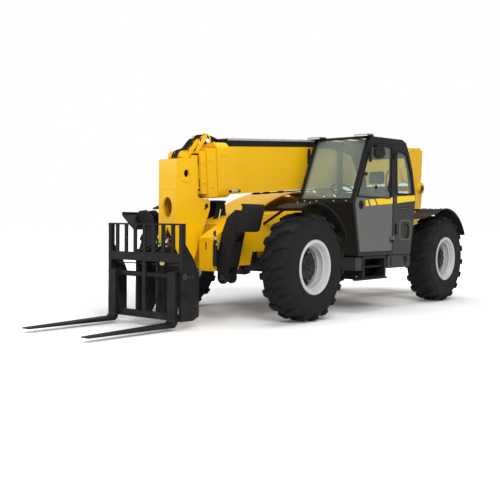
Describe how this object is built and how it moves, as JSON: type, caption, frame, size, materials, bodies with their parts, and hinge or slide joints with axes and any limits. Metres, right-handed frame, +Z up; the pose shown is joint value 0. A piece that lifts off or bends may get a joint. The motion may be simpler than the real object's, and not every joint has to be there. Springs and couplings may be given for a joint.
{
  "type": "telescopic handler",
  "caption": "Four-wheel telescopic handler with a nested telescopic boom, drop head, fork carriage, side cab and swing-down front stabilizers.",
  "frame": {"origin": "on the ground under the middle of the machine, forks included", "axes": "+X to the front, +Y to the left (cab side), +Z up"},
  "size_m": [7.926, 2.59, 2.6042],
  "materials": {
    "paint_yellow": "gloss paint",
    "steel_black": "satin paint",
    "cab_charcoal": "satin paint",
    "cab_grey": "satin paint",
    "rim_grey": "gloss paint",
    "tyre": "matt rubber",
    "chrome_rod": "polished",
    "glass": "tinted",
    "seat_fabric": "woven",
    "plastic_black": "moulded",
    "iron": "cast"
  },
  "bodies": {
    "chassis": {"front_frame": "paint_yellow", "stabilizer_boxes": "paint_yellow", "stabilizer_brackets": "steel_black", "drive_line": "iron", "frame_rails": "paint_yellow", "cross_members": "paint_yellow", "front_axle": "steel_black", "rear_axle": "steel_black", "counterweight": "steel_black", "cab_frame": "cab_charcoal", "cab_glass": "glass", "seat_base": "steel_black", "seat_cushion": "seat_fabric", "controls": "plastic_black", "step_box": "steel_black", "tank": "cab_grey", "fenders": "plastic_black", "engine_bay": "steel_black", "engine_block": "iron", "lamps": "plastic_black", "mirrors": "plastic_black"},
    "cab_door": {"door_panel": "cab_grey", "door_glass": "glass"},
    "hood": {"engine_hood": "paint_yellow"},
    "boom_1": {"boom_outer": "paint_yellow", "hose_tray": "plastic_black"},
    "boom_2": {"boom_second": "paint_yellow"},
    "boom_3": {"boom_third": "paint_yellow"},
    "boom_4": {"boom_fly": "paint_yellow"},
    "carriage": {"carriage_frame": "steel_black", "forks": "steel_black"},
    "lift_cylinder": {"lift_barrel": "steel_black"},
    "lift_piston": {"lift_rod": "chrome_rod"},
    "tilt_cylinder": {"tilt_barrel": "steel_black"},
    "tilt_piston": {"tilt_rod": "chrome_rod"},
    "knuckle_front_left_body": {"knuckle_front_left": "steel_black"},
    "wheel_front_left": {"rim_front_left": "rim_grey", "tyre_front_left": "tyre"},
    "knuckle_front_right_body": {"knuckle_front_right": "steel_black"},
    "wheel_front_right": {"rim_front_right": "rim_grey", "tyre_front_right": "tyre"},
    "knuckle_rear_left_body": {"knuckle_rear_left": "steel_black"},
    "wheel_rear_left": {"rim_rear_left": "rim_grey", "tyre_rear_left": "tyre"},
    "knuckle_rear_right_body": {"knuckle_rear_right": "steel_black"},
    "wheel_rear_right": {"rim_rear_right": "rim_grey", "tyre_rear_right": "tyre"},
    "stabilizer_left": {"stabilizer_leg_left": "steel_black"},
    "stabilizer_foot_left": {"stabilizer_pad_left": "steel_black"},
    "stabilizer_cylinder_left": {"stabilizer_left_barrel": "steel_black"},
    "stabilizer_piston_left": {"stabilizer_left_rod": "chrome_rod"},
    "stabilizer_right": {"stabilizer_leg_right": "steel_black"},
    "stabilizer_foot_right": {"stabilizer_pad_right": "steel_black"},
    "stabilizer_cylinder_right": {"stabilizer_right_barrel": "steel_black"},
    "stabilizer_piston_right": {"stabilizer_right_rod": "chrome_rod"}
  },
  "joints": [
    {"name": "steer_front_left", "type": "hinge", "parent": "chassis", "child": "knuckle_front_left_body", "pos_m": [0.984, 0.95, 0.685], "axis": [0, 0, 1], "range_deg": [-35, 35]},
    {"name": "spin_front_left", "type": "hinge", "parent": "knuckle_front_left_body", "child": "wheel_front_left", "pos_m": [0.984, 1.095, 0.685], "axis": [0, 1, 0], "continuous": true},
    {"name": "steer_front_right", "type": "hinge", "parent": "chassis", "child": "knuckle_front_right_body", "pos_m": [0.984, -0.95, 0.685], "axis": [0, 0, 1], "range_deg": [-35, 35]},
    {"name": "spin_front_right", "type": "hinge", "parent": "knuckle_front_right_body", "child": "wheel_front_right", "pos_m": [0.984, -1.095, 0.685], "axis": [0, 1, 0], "continuous": true},
    {"name": "steer_rear_left", "type": "hinge", "parent": "chassis", "child": "knuckle_rear_left_body", "pos_m": [-2.71, 0.95, 0.685], "axis": [0, 0, 1], "range_deg": [-35, 35]},
    {"name": "spin_rear_left", "type": "hinge", "parent": "knuckle_rear_left_body", "child": "wheel_rear_left", "pos_m": [-2.71, 1.095, 0.685], "axis": [0, 1, 0], "continuous": true},
    {"name": "steer_rear_right", "type": "hinge", "parent": "chassis", "child": "knuckle_rear_right_body", "pos_m": [-2.71, -0.95, 0.685], "axis": [0, 0, 1], "range_deg": [-35, 35]},
    {"name": "spin_rear_right", "type": "hinge", "parent": "knuckle_rear_right_body", "child": "wheel_rear_right", "pos_m": [-2.71, -1.095, 0.685], "axis": [0, 1, 0], "continuous": true},
    {"name": "door_swing", "type": "hinge", "parent": "chassis", "child": "cab_door", "pos_m": [-1.06, 1.24, 1.6], "axis": [0, 0, 1], "range_deg": [0, 100]},
    {"name": "hood_lift", "type": "hinge", "parent": "chassis", "child": "hood", "pos_m": [-0.8, -0.322, 1.73], "axis": [-1, 0, 0], "range_deg": [0, 60]},
    {"name": "boom_lift", "type": "hinge", "parent": "chassis", "child": "boom_1", "pos_m": [-3.733, 0, 1.87], "axis": [0, -1, 0], "range_deg": [0, 70]},
    {"name": "extend_second", "type": "slide", "parent": "boom_1", "child": "boom_2", "axis": [0.9972, 0, -0.075], "range_m": [0, 3.2]},
    {"name": "extend_third", "type": "slide", "parent": "boom_2", "child": "boom_3", "axis": [0.9972, 0, -0.075], "range_m": [0, 3.2]},
    {"name": "extend_fly", "type": "slide", "parent": "boom_3", "child": "boom_4", "axis": [0.9972, 0, -0.075], "range_m": [0, 3.2]},
    {"name": "carriage_tilt", "type": "hinge", "parent": "boom_4", "child": "carriage", "pos_m": [2.187, 0, 0.6], "axis": [0, 1, 0], "range_deg": [-15, 75]},
    {"name": "lift_barrel_swing", "type": "hinge", "parent": "chassis", "child": "lift_cylinder", "pos_m": [-3.063, 0, 0.82], "axis": [0, -1, 0], "range_deg": [0, 60.64]},
    {"name": "lift_rod_slide", "type": "slide", "parent": "lift_cylinder", "child": "lift_piston", "axis": [0.9196, 0, 0.3928], "range_m": [0, 1.3497]},
    {"name": "tilt_barrel_swing", "type": "hinge", "parent": "boom_4", "child": "tilt_cylinder", "pos_m": [1.762, 0, 1.438], "axis": [0, 1, 0], "range_deg": [-3, 11.7]},
    {"name": "tilt_rod_slide", "type": "slide", "parent": "tilt_cylinder", "child": "tilt_piston", "axis": [0.7699, 0, -0.6381], "range_m": [-0.11, 0.4299]},
    {"name": "stabilizer_swing_left", "type": "hinge", "parent": "chassis", "child": "stabilizer_left", "pos_m": [1.84, 0.575, 0.57], "axis": [-1, 0, 0], "range_deg": [0, 102]},
    {"name": "foot_swivel_left", "type": "hinge", "parent": "stabilizer_left", "child": "stabilizer_foot_left", "pos_m": [1.84, 0.87, 1.31], "axis": [-1, 0, 0], "range_deg": [-30, 34]},
    {"name": "stabilizer_barrel_swing_left", "type": "hinge", "parent": "chassis", "child": "stabilizer_cylinder_left", "pos_m": [1.84, 0.515, 0.74], "axis": [-1, 0, 0], "range_deg": [0, 99.49]},
    {"name": "stabilizer_rod_slide_left", "type": "slide", "parent": "stabilizer_cylinder_left", "child": "stabilizer_piston_left", "axis": [0, 0.5028, 0.8644], "range_m": [0, 0.282]},
    {"name": "stabilizer_swing_right", "type": "hinge", "parent": "chassis", "child": "stabilizer_right", "pos_m": [1.84, -0.575, 0.57], "axis": [1, 0, 0], "range_deg": [0, 102]},
    {"name": "foot_swivel_right", "type": "hinge", "parent": "stabilizer_right", "child": "stabilizer_foot_right", "pos_m": [1.84, -0.87, 1.31], "axis": [1, 0, 0], "range_deg": [-64, 0]},
    {"name": "stabilizer_barrel_swing_right", "type": "hinge", "parent": "chassis", "child": "stabilizer_cylinder_right", "pos_m": [1.84, -0.515, 0.74], "axis": [1, 0, 0], "range_deg": [0, 99.49]},
    {"name": "stabilizer_rod_slide_right", "type": "slide", "parent": "stabilizer_cylinder_right", "child": "stabilizer_piston_right", "axis": [0, -0.5028, 0.8644], "range_m": [0, 0.282]}
  ],
  "couplings": [
    {"joint": "steer_front_right", "follows": "steer_front_left", "ratio": 1},
    {"joint": "steer_rear_right", "follows": "steer_rear_left", "ratio": 1},
    {"joint": "extend_third", "follows": "extend_second", "ratio": 1},
    {"joint": "extend_fly", "follows": "extend_second", "ratio": 1},
    {"joint": "lift_barrel_swing", "follows": "boom_lift", "ratio": 0.85205},
    {"joint": "lift_rod_slide", "follows": "boom_lift", "m_per_rad": 1.1006},
    {"joint": "tilt_barrel_swing", "follows": "carriage_tilt", "ratio": 0.14268},
    {"joint": "tilt_rod_slide", "follows": "carriage_tilt", "m_per_rad": 0.32078},
    {"joint": "stabilizer_barrel_swing_left", "follows": "stabilizer_swing_left", "ratio": 0.96559},
    {"joint": "stabilizer_rod_slide_left", "follows": "stabilizer_swing_left", "m_per_rad": 0.15559},
    {"joint": "stabilizer_barrel_swing_right", "follows": "stabilizer_swing_right", "ratio": 0.96559},
    {"joint": "stabilizer_rod_slide_right", "follows": "stabilizer_swing_right", "m_per_rad": 0.15559}
  ]
}
